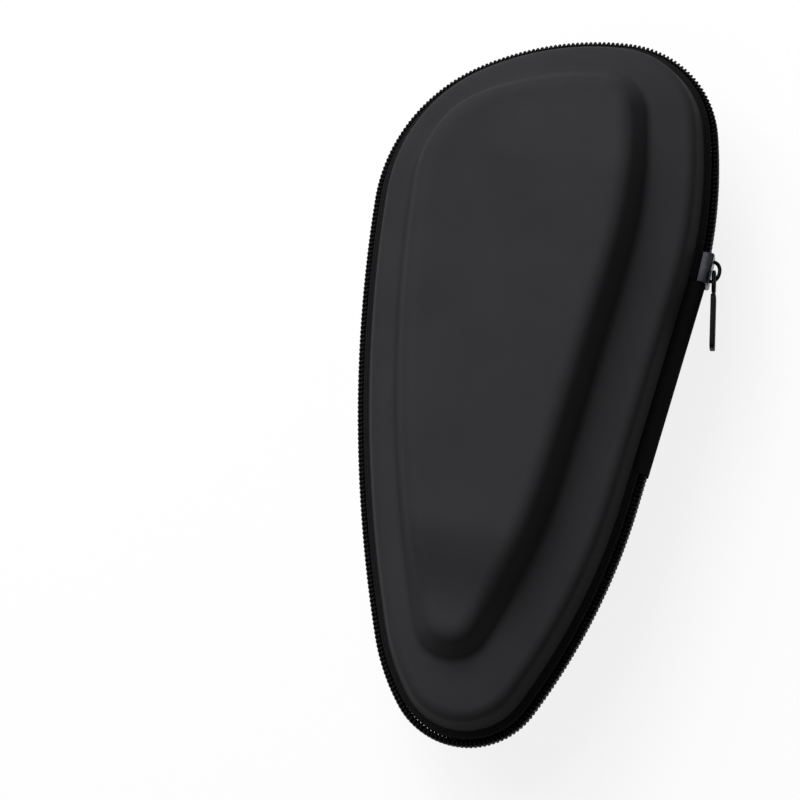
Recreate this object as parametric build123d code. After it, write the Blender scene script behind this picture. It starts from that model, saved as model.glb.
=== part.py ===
"""Hard zip case for an electric shaver: two moulded shells, a fabric hinge and a coil zip.

It is drawn about the zip plane (z = 0) with +Y towards the wide head end and +X towards the
hinge, and is then moved so that the origin is the middle of the closed case's footprint.
A section across the edge is drawn in (u, z): u is how far in from the outline of the zip.
"""

import os
from math import atan2, ceil, cos, degrees, floor, radians, sin, tan

from build123d import *

# ---- driving dimensions, mm and degrees ----------------------------------------------------

# outline of the closed zip, anticlockwise from the lower end of the straight hinge stretch;
# the radii of the long side and of the front close it
HINGE_HEADING = 83.9
HINGE_STRAIGHT = 63.2
BOW_RADIUS = 147.0
BOW_ANGLE = 19.8
CORNER_RADIUS = 30.5
CORNER_ANGLE = 77.9
CROWN_RADIUS = 82.5
CROWN_ANGLE = 31.4
SHOULDER_RADIUS = 51.5
SHOULDER_ANGLE = 59.5
SIDE_ANGLE = 17.8
FLANK_RADIUS = 63.5
FLANK_ANGLE = 19.2
TIP_RADIUS = 23.0
TIP_ANGLE = 114.1

# moulded shell: a drafted wall, a sloping border and a raised panel
HALF_DEPTH = 34.0
SEAM_HEIGHT = 6.5
SHELL_INSET = 4.2
WALL_DRAFT = 12.0
RIM_HEIGHT = 17.0
RIM_ROUND = 4.5
BORDER_SLOPE = 15.0
BORDER_RUN = 15.0
PANEL_INSET = 15.8
PANEL_CORNER = 11.7
PANEL_SHIFT_X = -3.4
PANEL_SHIFT_Y = 1.6
FLARE_HEIGHT = 22.0
FLARE_DRAFT = 38.0
FLARE_ROUND = 6.0
RISER_DRAFT = 24.0
PANEL_ROUND = 6.0
WALL = 4.0
LEVEL_TOLERANCE = 0.001

# lining and edge binding
GLUE = 0.1
LINING = 0.8
BINDING = 0.9
BINDING_DROP = 1.7
BINDING_RISE = 3.5

# zip: coil, tape and the stretch beside the slider that twists when the case opens
COIL_HEIGHT = 3.0
COIL_DEPTH = 2.3
COIL_ROOT = 0.9
COIL_CHAMFER = 0.5
COIL_PITCH = 1.33
TURNS_PER_TOOTH = 4
TOOTH_REACH = 0.7
TOOTH_GAP = 0.2
TOOTH_MARGIN = 0.3
TAPE = 0.5
TAPE_GAP = 0.05
END_STRETCH = 38.0
NODE_GAP = 0.2

# fabric hinge
PANEL_START = 9.3
PANEL_LENGTH = 58.5
HINGE_FABRIC = 1.0
HINGE_PROUD = 1.5
HINGE_AXIS_PROUD = 1.0
HINGE_LINING_RADIUS = 5.2

# slider and pull
SLIDER_LENGTH = 9.4
SLIDER_CLEAR = 0.1
SLIDER_WIDTH = 9.0
SLIDER_NOSE = 7.6
SLIDER_ROUND = 0.9
SLIDER_PLATE = 1.0
SLIDER_GAP = 0.25
BRIDGE_LENGTH = 7.0
BRIDGE_REACH = 2.8
BRIDGE_WIDTH = 1.6
BRIDGE_BAR = 0.9
PULL_ANGLE = 15.9
LINK_LENGTH = 7.2
LINK_WIDTH = 5.0
LINK_BAR = 1.15
LINK_THICK = 1.2
TANG_LENGTH = 3.0
TAB_LENGTH = 16.2
TAB_WIDTH = 6.6
TAB_THICK = 1.45
TAB_ROUND = 1.6
TAB_DISH = 0.2

# inside fittings
POCKET_MOUTH = 18.0
POCKET_MESH = 0.8
EDGING_WIDTH = 12.0
EDGING_THICK = 1.4
STRAP_STATION = -22.0
STRAP_WIDTH = 22.0
STRAP_THICK = 1.2


# ---- outline of the zip ----------------------------------------------------------------------


def heading_vector(heading):
    return Vector(cos(radians(heading)), sin(radians(heading)))


def inward(heading):
    return Vector(-sin(radians(heading)), cos(radians(heading)))


def outline_segments():
    """(start, heading, length, radius, turn) of each stretch; the straight one has radius None."""
    turns = [BOW_ANGLE, CORNER_ANGLE, CROWN_ANGLE, SHOULDER_ANGLE]
    turns += [SIDE_ANGLE, FLANK_ANGLE, TIP_ANGLE]
    turns.append(360 - sum(turns))
    radii = [BOW_RADIUS, CORNER_RADIUS, CROWN_RADIUS, SHOULDER_RADIUS, None]
    radii += [FLANK_RADIUS, TIP_RADIUS, None]
    heading = HINGE_HEADING
    steps = []
    for turn in turns:
        steps.append(inward(heading) - inward(heading + turn))
        heading += turn
    gap = heading_vector(HINGE_HEADING) * HINGE_STRAIGHT
    for radius, step in zip(radii, steps):
        if radius:
            gap += step * radius
    side, front = [step for radius, step in zip(radii, steps) if radius is None]
    area = side.X * front.Y - side.Y * front.X
    closing = [(gap.Y * front.X - gap.X * front.Y) / area, (side.Y * gap.X - side.X * gap.Y) / area]
    radii = [radius or closing.pop(0) for radius in radii]
    place, heading = Vector(0, 0), HINGE_HEADING
    segments = [(place, heading, HINGE_STRAIGHT, None, 0)]
    place = place + heading_vector(heading) * HINGE_STRAIGHT
    for radius, turn, step in zip(radii, turns, steps):
        segments.append((place, heading, radius * radians(turn), radius, turn))
        place = place + step * radius
        heading += turn
    return segments


SEGMENTS = outline_segments()
RUN_LENGTH = sum(length for _, _, length, _, _ in SEGMENTS)


def outline_face(inset):
    """The area inside the outline, drawn in by inset."""
    edges = []
    for place, heading, length, radius, turn in SEGMENTS:
        start = place + inward(heading) * inset
        if radius is None:
            edges.append(Line(start, start + heading_vector(heading) * length))
        else:
            edges.append(JernArc(start, heading_vector(heading), radius - inset, turn))
    return make_face(edges)


def frame_at(station):
    """A plane across the edge: its x is inward, its y is up and its z runs along the zip."""
    left = station % RUN_LENGTH
    for place, heading, length, radius, turn in SEGMENTS:
        if left <= length:
            break
        left -= length
    if radius is None:
        return Plane(place + heading_vector(heading) * left, inward(heading), heading_vector(heading))
    centre = place + inward(heading) * radius
    now = heading + turn * left / length
    return Plane(centre - inward(now) * radius, inward(now), heading_vector(now))


def section(points, station):
    return frame_at(station) * make_face(Polyline(*points, close=True))


def edge_strip(points, first, last):
    """A strip of one (u, z) section that follows the outline from one station to another."""
    pieces = []
    begin = 0.0
    for place, heading, length, radius, turn in SEGMENTS * 2:
        low, high = max(first, begin), min(last, begin + length)
        if high > low:
            face = section(points, low)
            if radius is None:
                pieces.append(extrude(face, amount=high - low, dir=heading_vector(heading)))
            else:
                axis = Axis(place + inward(heading) * radius, Vector(0, 0, 1))
                pieces.append(revolve(face, axis, degrees((high - low) / radius)))
        begin += length
    return Part() + pieces


# ---- shells and linings ----------------------------------------------------------------------


def panel_outline(inset):
    """The raised panel's outline, with its corners never tighter than PANEL_CORNER."""
    core = offset(outline_face(0), -(PANEL_INSET + PANEL_CORNER))
    return Pos(PANEL_SHIFT_X, PANEL_SHIFT_Y) * offset(core, PANEL_INSET + PANEL_CORNER - inset)


def top_face(solid):
    return solid.faces().sort_by(Axis.Z)[-1]


def rim_level(depth):
    """Height of the corner between wall and border, on the surface sunk by depth."""
    wall, slope = radians(WALL_DRAFT), radians(BORDER_SLOPE)
    drop = depth * (1 / cos(slope) - tan(slope) / cos(wall)) / (1 - tan(wall) * tan(slope))
    return RIM_HEIGHT - drop


def border_mound(depth):
    """Wall and border as a filled mound, sunk by depth."""
    rim = rim_level(depth)
    foot = outline_face(SHELL_INSET + depth / cos(radians(WALL_DRAFT)))
    wall = extrude(Pos(0, 0, SEAM_HEIGHT) * foot, amount=rim - SEAM_HEIGHT, taper=WALL_DRAFT)
    rise = (BORDER_RUN - depth) * tan(radians(BORDER_SLOPE))
    return wall + extrude(top_face(wall), amount=rise, taper=90 - BORDER_SLOPE)


def panel_prism(low, high, inset, draft):
    """A drafted stretch of the raised panel; inset is its outline's at the lower level."""
    return extrude(Pos(0, 0, low) * panel_outline(inset), amount=high - low, taper=draft)


def level_edges(shape, height):
    """The level edges of a shape at one height."""
    found = []
    for edge in shape.edges():
        box = edge.bounding_box()
        if max(abs(box.min.Z - height), abs(box.max.Z - height)) < LEVEL_TOLERANCE:
            found.append(edge)
    return found


def outer_form():
    """The shell's outside as a filled heap; wall, border and panel are rounded before they join."""
    rim = RIM_HEIGHT
    mound = border_mound(0)
    mound = fillet(level_edges(mound, rim), RIM_ROUND)
    flare_inset = PANEL_INSET - (FLARE_HEIGHT - rim) * tan(radians(FLARE_DRAFT))
    panel = panel_prism(rim, FLARE_HEIGHT, flare_inset, FLARE_DRAFT)
    panel += panel_prism(FLARE_HEIGHT, HALF_DEPTH, PANEL_INSET, RISER_DRAFT)
    panel = fillet(level_edges(panel, HALF_DEPTH), PANEL_ROUND)
    panel = fillet(level_edges(panel, FLARE_HEIGHT), FLARE_ROUND)
    return mound + panel


def inner_form(depth):
    """The same heap sunk by depth, with plain edges where nothing shows."""
    rim = rim_level(depth)
    inset = PANEL_INSET + depth / cos(radians(RISER_DRAFT))
    inset -= (FLARE_HEIGHT - rim) * tan(radians(RISER_DRAFT))
    return border_mound(depth) + panel_prism(rim, HALF_DEPTH - depth, inset, RISER_DRAFT)


def moulded_shell():
    return outer_form() - inner_form(WALL)


def lining():
    return inner_form(WALL + GLUE) - inner_form(WALL + GLUE + LINING)


# ---- zip: binding, tape and coil --------------------------------------------------------------


def mirrored(part):
    return mirror(part, Plane.XY)


def inner_edge():
    """Inset of the lining's inner face where it ends at the seam."""
    return SHELL_INSET + (WALL + GLUE + LINING) / cos(radians(WALL_DRAFT))


def binding():
    """Woven binding over the inner edge of shell, lining and tape."""
    out = inner_edge() + GLUE
    lean = (BINDING_RISE + BINDING_DROP) * tan(radians(WALL_DRAFT))
    low, high = SEAM_HEIGHT - BINDING_DROP, SEAM_HEIGHT + BINDING_RISE
    points = [(out, low), (out + BINDING, low), (out + BINDING + lean, high), (out + lean, high)]
    return edge_strip(points, 0, RUN_LENGTH)


def tape_section():
    """The tape stands beside the coil, slants out to the shell and runs in under its edge."""
    root = COIL_DEPTH + TAPE_GAP
    stand = SLIDER_WIDTH / 2 + SLIDER_GAP
    under = SEAM_HEIGHT - GLUE
    end = inner_edge()
    lean = atan2(SHELL_INSET - root, under - stand)
    low_bend = TAPE * tan(lean / 2)
    high_bend = TAPE * tan((radians(90) - lean) / 2)
    outer = [(root, COIL_ROOT), (root, stand), (SHELL_INSET, under), (end, under)]
    inner = [(end, under - TAPE), (SHELL_INSET + high_bend, under - TAPE)]
    inner += [(root + TAPE, stand - low_bend), (root + TAPE, COIL_ROOT)]
    return outer + inner


def coil_section():
    """The coil's body, with its outer corner knocked off."""
    low, high, cut = COIL_ROOT, COIL_HEIGHT, COIL_CHAMFER
    return [(0, low), (0, high - cut), (cut, high), (COIL_DEPTH, high), (COIL_DEPTH, low)]


def coil(first, last, phase):
    """One half of the coil between two stations; its teeth keep to one count round the case."""
    pitch = COIL_PITCH * TURNS_PER_TOOTH
    half = pitch / 2 - TOOTH_GAP
    wedge = make_face(Polyline((-half, COIL_ROOT), (0, -TOOTH_REACH), (half, COIL_ROOT), close=True))
    side = Plane((TOOTH_MARGIN, 0, 0), Vector(0, 0, -1), Vector(1, 0, 0))
    tooth = extrude(side * wedge, amount=COIL_DEPTH - 2 * TOOTH_MARGIN)
    parts = [edge_strip(coil_section(), first, last)]
    lowest = ceil(first / pitch - phase + 0.5)
    highest = floor(last / pitch - phase - 0.5)
    for i in range(lowest, highest + 1):
        parts.append(frame_at((i + phase) * pitch).location * tooth)
    return Part() + parts


# ---- fabric hinge -----------------------------------------------------------------------------


def hinge_frame():
    return frame_at(PANEL_START)


def hinge_panel():
    """The folded fabric that bridges both shells, bowed out past the coil."""
    edge = SEAM_HEIGHT - GLUE
    inset = SHELL_INSET + HINGE_FABRIC / 2
    outer = ThreePointArc((inset, edge), (-HINGE_PROUD, 0), (inset, -edge))
    inner = ThreePointArc(
        (inset, -edge + HINGE_FABRIC), (HINGE_FABRIC - HINGE_PROUD, 0), (inset, edge - HINGE_FABRIC)
    )
    ends = [Line(outer @ 1, inner @ 0), Line(inner @ 1, outer @ 0)]
    face = hinge_frame() * make_face([outer, inner] + ends)
    return extrude(face, amount=PANEL_LENGTH, dir=heading_vector(HINGE_HEADING))


def hinge_lining():
    """The soft strip inside the hinge, with its legs run in under both shells' edges."""
    radius = HINGE_LINING_RADIUS
    middle = HINGE_FABRIC - HINGE_PROUD + GLUE + radius
    legs = Pos(middle, 0) * Circle(radius) - Pos(middle, 0) * Circle(radius - LINING)
    legs -= Pos(middle + radius, 0) * Rectangle(2 * radius, 4 * radius)
    reach = inner_edge() - middle
    leg = Pos(middle + reach / 2, radius - LINING / 2) * Rectangle(reach, LINING)
    face = hinge_frame() * (legs + leg + mirror(leg, Plane.XZ))
    return extrude(face, amount=PANEL_LENGTH, dir=heading_vector(HINGE_HEADING))


# ---- slider and pull --------------------------------------------------------------------------


def slider_station():
    """The middle of the slider, drawn up against the hinge panel."""
    return PANEL_START + PANEL_LENGTH + SLIDER_CLEAR + SLIDER_LENGTH / 2


def slider_frame():
    """x is out from the case, y is along the zip, z is up."""
    at = frame_at(slider_station())
    return Plane(at.origin, -at.x_dir, Vector(0, 0, 1))


def slider_slice(low, high):
    """The slider's plan, broad at its mouths and narrow at its nose, between two distances out."""
    half, nose, mouth = SLIDER_LENGTH / 2, SLIDER_NOSE / 2, SLIDER_WIDTH / 2
    points = [(-half, -mouth), (0, -mouth), (half, -nose), (half, nose), (0, mouth), (-half, mouth)]
    plan = make_face(Polyline(*points, close=True))
    plan = fillet(plan.vertices(), SLIDER_ROUND)
    return extrude(Plane.YZ.offset(low) * plan, amount=high - low)


def slider_wedge(low, high):
    """The post that parts the two coils, between two distances out."""
    half, length, width = SLIDER_LENGTH / 2, SLIDER_LENGTH / 3, COIL_ROOT - SLIDER_GAP
    plan = make_face(Polyline((-half, -width), (length - half, 0), (-half, width), close=True))
    return extrude(Plane.YZ.offset(low) * plan, amount=high - low)


def slider_body():
    """Two plates joined by a wedge, with rails that wrap the coil and leave the tape free."""
    face = SLIDER_GAP + SLIDER_PLATE
    rail_end = SLIDER_GAP - COIL_DEPTH
    inner_face = -(COIL_DEPTH + TAPE_GAP + TAPE + SLIDER_GAP)
    channel = Pos((rail_end + SLIDER_GAP) / 2, 0, 0) * Box(
        SLIDER_GAP - rail_end, 2 * SLIDER_LENGTH, 2 * (COIL_HEIGHT + SLIDER_GAP)
    )
    body = slider_slice(rail_end, face) - channel
    body += slider_slice(inner_face - SLIDER_PLATE, inner_face)
    body += slider_wedge(inner_face, SLIDER_GAP)
    return slider_frame() * body


def half_oval(length, reach):
    """Half an oval in (out, along) that stands on the slider's outer plate."""
    seat = SLIDER_GAP + SLIDER_PLATE
    keep = Pos(seat + reach, 0) * Rectangle(2 * reach, 2 * length)
    return (Pos(seat, 0) * Ellipse(reach, length / 2)) & keep


def slider_bridge():
    """The arch on the slider that holds the pull."""
    arch = half_oval(BRIDGE_LENGTH, BRIDGE_REACH)
    arch -= half_oval(BRIDGE_LENGTH - 2 * BRIDGE_BAR, BRIDGE_REACH - BRIDGE_BAR)
    return slider_frame() * extrude(arch, amount=BRIDGE_WIDTH / 2, both=True)


def pull_pivot_out():
    """How far out the pull turns: its bar rides in the middle of the bridge's window."""
    return SLIDER_GAP + SLIDER_PLATE + (BRIDGE_REACH - BRIDGE_BAR) / 2


def pull_frame():
    """x runs down the pull from its pivot, y is across its thickness, z is up."""
    at = slider_frame()
    pivot = at.origin + at.x_dir * pull_pivot_out()
    hang = HINGE_HEADING + 180 + PULL_ANGLE
    return Plane(pivot, heading_vector(hang), Vector(0, 0, 1))


def pull_link():
    """A ring round the bridge's arch, with a tang that runs into the grip."""
    window = LINK_WIDTH - 2 * LINK_BAR
    centre = LINK_LENGTH / 2 - LINK_BAR / 2
    ring = Pos(centre, 0) * SlotOverall(LINK_LENGTH, LINK_WIDTH)
    ring -= Pos(centre, 0) * SlotOverall(LINK_LENGTH - 2 * LINK_BAR, window)
    tang_end = LINK_LENGTH - LINK_BAR / 2 + TANG_LENGTH
    tang_start = LINK_LENGTH - LINK_BAR
    tang = Pos((tang_start + tang_end) / 2, 0) * Rectangle(tang_end - tang_start, window)
    plane = Plane((0, 0, 0), Vector(1, 0, 0), Vector(0, -1, 0))
    return pull_frame() * extrude(plane * (ring + tang), amount=LINK_THICK / 2, both=True)


def pull_tab():
    """The grip, moulded over the tang, with a shallow thumb recess on both faces."""
    window = LINK_WIDTH - 2 * LINK_BAR
    start = LINK_LENGTH - LINK_BAR / 2 + NODE_GAP
    plane = Plane((0, 0, 0), Vector(1, 0, 0), Vector(0, -1, 0))
    plan = Pos(start + TAB_LENGTH / 2, 0) * RectangleRounded(TAB_LENGTH, TAB_WIDTH, TAB_ROUND)
    grip = extrude(plane * plan, amount=TAB_THICK / 2, both=True)
    dish_length = TAB_LENGTH - TANG_LENGTH - 3 * TAB_ROUND
    dish_plan = Pos(start + TAB_LENGTH - TAB_ROUND - dish_length / 2, 0) * RectangleRounded(
        dish_length, TAB_WIDTH - 2 * TAB_ROUND, TAB_ROUND / 2
    )
    for side in (1, -1):
        dish = extrude(plane.offset(side * (TAB_THICK / 2 - TAB_DISH)) * dish_plan, amount=side * TAB_DISH)
        grip -= dish
    pocket = Pos(start + TANG_LENGTH / 2 - NODE_GAP, 0, 0) * Box(TANG_LENGTH, LINK_THICK, window)
    return pull_frame() * (grip - pocket)


# ---- inside fittings ---------------------------------------------------------------------------


def lining_inset(height):
    """Inset of the lining's drafted wall at a height above the zip plane."""
    return inner_edge() + (height - SEAM_HEIGHT) * tan(radians(WALL_DRAFT)) + GLUE


def clear_of_binding():
    """The lowest level at which a fitting can reach the lining."""
    return SEAM_HEIGHT + BINDING_RISE + NODE_GAP


def middle_of_hinge():
    return HINGE_STRAIGHT / 2


def band_across(width, middle):
    """The full width of the case between two lines square to its length."""
    return Pos(0, middle) * Rectangle(RUN_LENGTH, width)


def pocket_mesh():
    """The net of the lid's pocket, which closes off the narrow end of the lid."""
    low = clear_of_binding() + EDGING_THICK / 2
    mouth = middle_of_hinge() + POCKET_MOUTH
    area = outline_face(lining_inset(low + POCKET_MESH)) & band_across(RUN_LENGTH, mouth - RUN_LENGTH / 2)
    return extrude(Pos(0, 0, low) * area, amount=POCKET_MESH)


def pocket_edging():
    """The elastic folded over the pocket's mouth."""
    low = clear_of_binding()
    high = low + POCKET_MESH + EDGING_THICK
    mouth = middle_of_hinge() + POCKET_MOUTH
    outline = outline_face(lining_inset(high))
    folded = extrude(Pos(0, 0, low) * (outline & band_across(EDGING_WIDTH, mouth)), amount=high - low)
    inside = band_across(EDGING_WIDTH, mouth - EDGING_THICK / 2) & outline_face(0)
    return folded - extrude(Pos(0, 0, low + EDGING_THICK / 2) * inside, amount=POCKET_MESH)


def strap():
    """Elastic strap across the base, caught at both ends in the lining's wall."""
    low = clear_of_binding()
    area = outline_face(lining_inset(low + STRAP_THICK))
    area &= band_across(STRAP_WIDTH, middle_of_hinge() + STRAP_STATION)
    return mirrored(extrude(Pos(0, 0, low) * area, amount=STRAP_THICK))


# ---- nodes -------------------------------------------------------------------------------------


def case_nodes():
    """Every piece of the closed case by name, drawn about the zip plane."""
    hem = PANEL_START + PANEL_LENGTH + NODE_GAP
    split = slider_station() + END_STRETCH
    end = RUN_LENGTH + PANEL_START - NODE_GAP
    meshed = slider_station() - SLIDER_LENGTH / 6 + NODE_GAP
    shell, inside, edge = moulded_shell(), lining(), binding()
    return {
        "front_shell": shell,
        "front_lining": inside,
        "front_binding": edge,
        "front_tape": edge_strip(tape_section(), split, end),
        "front_tape_end": edge_strip(tape_section(), hem, split - NODE_GAP),
        "front_coil": coil(split, end, 0),
        "front_coil_end": coil(meshed, split - NODE_GAP, 0),
        "pocket_mesh": pocket_mesh(),
        "pocket_edging": pocket_edging(),
        "back_shell": mirrored(shell),
        "back_lining": mirrored(inside),
        "back_binding": mirrored(edge),
        "back_tape": mirrored(edge_strip(tape_section(), hem, end)),
        "back_coil": mirrored(coil(split, end, 0.5)),
        "back_coil_end": mirrored(coil(meshed, split - NODE_GAP, 0.5)),
        "strap": strap(),
        "hinge_panel": hinge_panel(),
        "hinge_lining": hinge_lining(),
        "slider_body": slider_body(),
        "slider_bridge": slider_bridge(),
        "pull_link": pull_link(),
        "pull_tab": pull_tab(),
    }


def footprint_origin(nodes):
    """The middle of the closed case's footprint, level with its lowest face."""
    box = Compound([solid for node in nodes.values() for solid in node.solids()]).bounding_box()
    return Vector((box.min.X + box.max.X) / 2, (box.min.Y + box.max.Y) / 2, box.min.Z)


def main():
    nodes = case_nodes()
    origin = footprint_origin(nodes)
    os.makedirs("parts", exist_ok=True)
    for name, node in nodes.items():
        export_step(Pos(-origin) * node, f"parts/{name}.step")
    bow_centre = SEGMENTS[1][0] + inward(HINGE_HEADING) * BOW_RADIUS
    hinge_point = hinge_frame().origin - inward(HINGE_HEADING) * HINGE_AXIS_PROUD
    print("hinge line through", hinge_point - origin, "along", heading_vector(HINGE_HEADING))
    print("slider turns about", bow_centre - origin)
    print("pull turns about", pull_frame().origin - origin)


main()
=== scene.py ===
"""Looks of a hard zip case for an electric shaver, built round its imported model."""

from math import acos, atan2, ceil, cos, degrees, pi, radians, sin, sqrt, tan

import bpy
from mathutils import Matrix, Vector


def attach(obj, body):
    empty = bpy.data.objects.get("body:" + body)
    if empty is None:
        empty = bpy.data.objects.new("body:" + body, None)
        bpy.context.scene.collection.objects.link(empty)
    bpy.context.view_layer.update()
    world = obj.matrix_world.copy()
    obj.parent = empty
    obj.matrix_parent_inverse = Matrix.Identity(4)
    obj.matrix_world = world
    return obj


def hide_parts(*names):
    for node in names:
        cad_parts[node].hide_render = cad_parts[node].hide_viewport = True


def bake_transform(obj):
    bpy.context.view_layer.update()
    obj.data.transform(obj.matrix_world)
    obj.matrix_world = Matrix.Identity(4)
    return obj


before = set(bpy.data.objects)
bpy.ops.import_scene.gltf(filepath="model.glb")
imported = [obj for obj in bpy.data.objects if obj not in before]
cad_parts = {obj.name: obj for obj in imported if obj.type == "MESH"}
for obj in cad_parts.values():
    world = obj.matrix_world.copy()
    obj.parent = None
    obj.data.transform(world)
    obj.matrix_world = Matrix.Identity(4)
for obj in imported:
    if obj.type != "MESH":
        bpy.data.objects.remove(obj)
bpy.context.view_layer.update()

MM = 0.001
SEAM_PLANE = 34.0  # height of the zip's middle above the surface the case lies on, mm
WELD = 0.05  # mm within which a swept form's ends are merged
TOUCH = 0.01  # mm within which the two ends of a drawn line are merged
ROUND_CUTS = 6  # pieces that an arc of a section is drawn in

# ---- outline of the closed zip, mm and degrees, anticlockwise from the hinge's lower end --------

OUTLINE_START = (39.47567, -30.08807)
HINGE_HEADING = 83.9
HINGE_STRAIGHT = 63.2
BENDS = [
    (147.0, 19.8),
    (30.5, 77.9),
    (82.5, 31.4),
    (51.5, 59.5),
    (420.27092, 17.8),
    (63.5, 19.2),
    (23.0, 114.1),
    (187.97434, 20.3),
]


def heading(angle):
    return Vector((cos(radians(angle)), sin(radians(angle)), 0))


def inward(angle):
    return Vector((-sin(radians(angle)), cos(radians(angle)), 0))


def outline_stretches():
    """(start, heading, length, radius, turn) of each stretch; the straight one has radius 0."""
    place, angle = Vector((*OUTLINE_START, 0)), HINGE_HEADING
    stretches = [(place, angle, HINGE_STRAIGHT, 0, 0)]
    place = place + heading(angle) * HINGE_STRAIGHT
    for radius, turn in BENDS:
        stretches.append((place, angle, radius * radians(turn), radius, turn))
        place = place + (inward(angle) - inward(angle + turn)) * radius
        angle += turn
    return stretches


STRETCHES = outline_stretches()
RUN = sum(length for _, _, length, _, _ in STRETCHES)


def station(at):
    """(point on the outline, heading) at a distance along it."""
    left = at % RUN
    for place, angle, length, radius, turn in STRETCHES:
        if left <= length:
            break
        left -= length
    if not radius:
        return place + heading(angle) * left, angle
    now = angle + turn * left / length
    return place + (inward(angle) - inward(now)) * radius, now


def moves_between(first, last):
    """(centre, angle or step, length) of each move along the outline; a straight has no centre."""
    moves, begin = [], 0.0
    for place, angle, length, radius, turn in STRETCHES * 2:
        low, high = max(first, begin), min(last, begin + length)
        if high - low > 1e-6:
            if radius:
                centre = place + inward(angle) * radius
                moves.append((centre, degrees((high - low) / radius), high - low))
            else:
                moves.append((None, heading(angle) * (high - low), high - low))
        begin += length
    return moves


def up_to_row(point, height=SEAM_PLANE):
    """A flat point in mm, lifted to a height, in metres."""
    return Vector((point.x, point.y, height)) * MM


# ---- drawing with operators ---------------------------------------------------------------------


def begin_at(name, place):
    """A mesh of a single vertex, in edit mode, to draw on from there."""
    bpy.ops.object.select_all(action="DESELECT")
    bpy.ops.mesh.primitive_plane_add(size=MM, location=(0, 0, 0))
    piece = bpy.context.object
    piece.name = piece.data.name = name
    bpy.ops.object.mode_set(mode="EDIT")
    bpy.ops.mesh.select_mode(type="VERT")
    bpy.ops.mesh.select_all(action="SELECT")
    bpy.ops.mesh.merge(type="CENTER")
    bpy.ops.transform.translate(value=place)
    return piece


def draw_through(points):
    """Extrudes the selected vertex through the rest of the points."""
    for now, after in zip(points, points[1:]):
        bpy.ops.mesh.extrude_vertices_move(TRANSFORM_OT_translate={"value": after - now})


def follow(moves, spacing):
    """Sweeps all that is drawn along moves, with a ring of vertices about every spacing mm."""
    bpy.ops.mesh.select_all(action="SELECT")
    for centre, amount, length in moves:
        steps = ceil(length / spacing)
        if centre is None:
            for _ in range(steps):
                bpy.ops.mesh.extrude_region_move(
                    TRANSFORM_OT_translate={"value": amount * (MM / steps)}
                )
        else:
            bpy.ops.mesh.spin(
                steps=steps, angle=-radians(amount), center=up_to_row(centre), axis=(0, 0, 1)
            )


def tie_ends():
    """Merges the two ends of a line that was drawn round to its start."""
    bpy.ops.mesh.select_all(action="SELECT")
    bpy.ops.mesh.remove_doubles(threshold=TOUCH * MM)


def close_up():
    """Merges what meets, turns all faces outwards and leaves edit mode."""
    bpy.ops.mesh.select_all(action="SELECT")
    bpy.ops.mesh.remove_doubles(threshold=WELD * MM)
    bpy.ops.mesh.normals_make_consistent(inside=False)
    bpy.ops.object.mode_set(mode="OBJECT")


def only(piece):
    bpy.ops.object.select_all(action="DESELECT")
    piece.select_set(True)
    bpy.context.view_layer.objects.active = piece
    return piece


def open_mesh(piece):
    """Enters edit mode with the whole of a piece selected."""
    only(piece)
    bpy.ops.object.mode_set(mode="EDIT")
    bpy.ops.mesh.select_all(action="SELECT")


def cap_ends(piece, sides):
    """Closes the open ends of tubes with faces of up to so many sides."""
    open_mesh(piece)
    bpy.ops.mesh.fill_holes(sides=sides)
    bpy.ops.object.mode_set(mode="OBJECT")


def apply_modifier(piece, kind, **settings):
    only(piece)
    modifier = piece.modifiers.new(kind.title(), kind)
    for key, value in settings.items():
        setattr(modifier, key, value)
    bpy.ops.object.modifier_apply(modifier=modifier.name)


def repeated(piece, count, pitch, **settings):
    """Puts copies of a piece in a row along x, a pitch in mm apart."""
    apply_modifier(
        piece,
        "ARRAY",
        count=count,
        use_relative_offset=False,
        use_constant_offset=True,
        constant_offset_displace=(pitch * MM, 0, 0),
        **settings,
    )


def smooth(piece, angle):
    """Shades smooth across edges that turn by less than an angle in degrees."""
    only(piece)
    bpy.ops.object.shade_smooth_by_angle(angle=radians(angle))


def copy_of(piece, name):
    only(piece)
    bpy.ops.object.duplicate()
    twin = bpy.context.object
    twin.name = twin.data.name = name
    return twin


def flipped(piece, level=0):
    """Mirrors a piece in the level plane at a height in mm."""
    open_mesh(piece)
    bpy.ops.transform.mirror(
        constraint_axis=(False, False, True), center_override=(0, 0, level * MM)
    )
    bpy.ops.mesh.flip_normals()
    bpy.ops.object.mode_set(mode="OBJECT")
    return piece


def select_vertices(piece, wanted):
    """Selects the vertices whose place in mm passes the test; the mesh is in edit mode."""
    bpy.ops.mesh.select_all(action="DESELECT")
    bpy.ops.object.mode_set(mode="OBJECT")
    for vertex in piece.data.vertices:
        vertex.select = wanted(vertex.co / MM)
    bpy.ops.object.mode_set(mode="EDIT")


def select_rims(piece, low, high):
    """Selects the open rims between two levels; the mesh is in edit mode."""
    bpy.ops.mesh.select_all(action="DESELECT")
    bpy.ops.mesh.select_non_manifold()
    bpy.ops.object.mode_set(mode="OBJECT")
    rims = {v.index for v in piece.data.vertices if v.select and low < v.co.z / MM < high}
    bpy.ops.object.mode_set(mode="EDIT")
    bpy.ops.mesh.select_all(action="DESELECT")
    bpy.ops.object.mode_set(mode="OBJECT")
    for index in rims:
        piece.data.vertices[index].select = True
    bpy.ops.object.mode_set(mode="EDIT")


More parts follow.
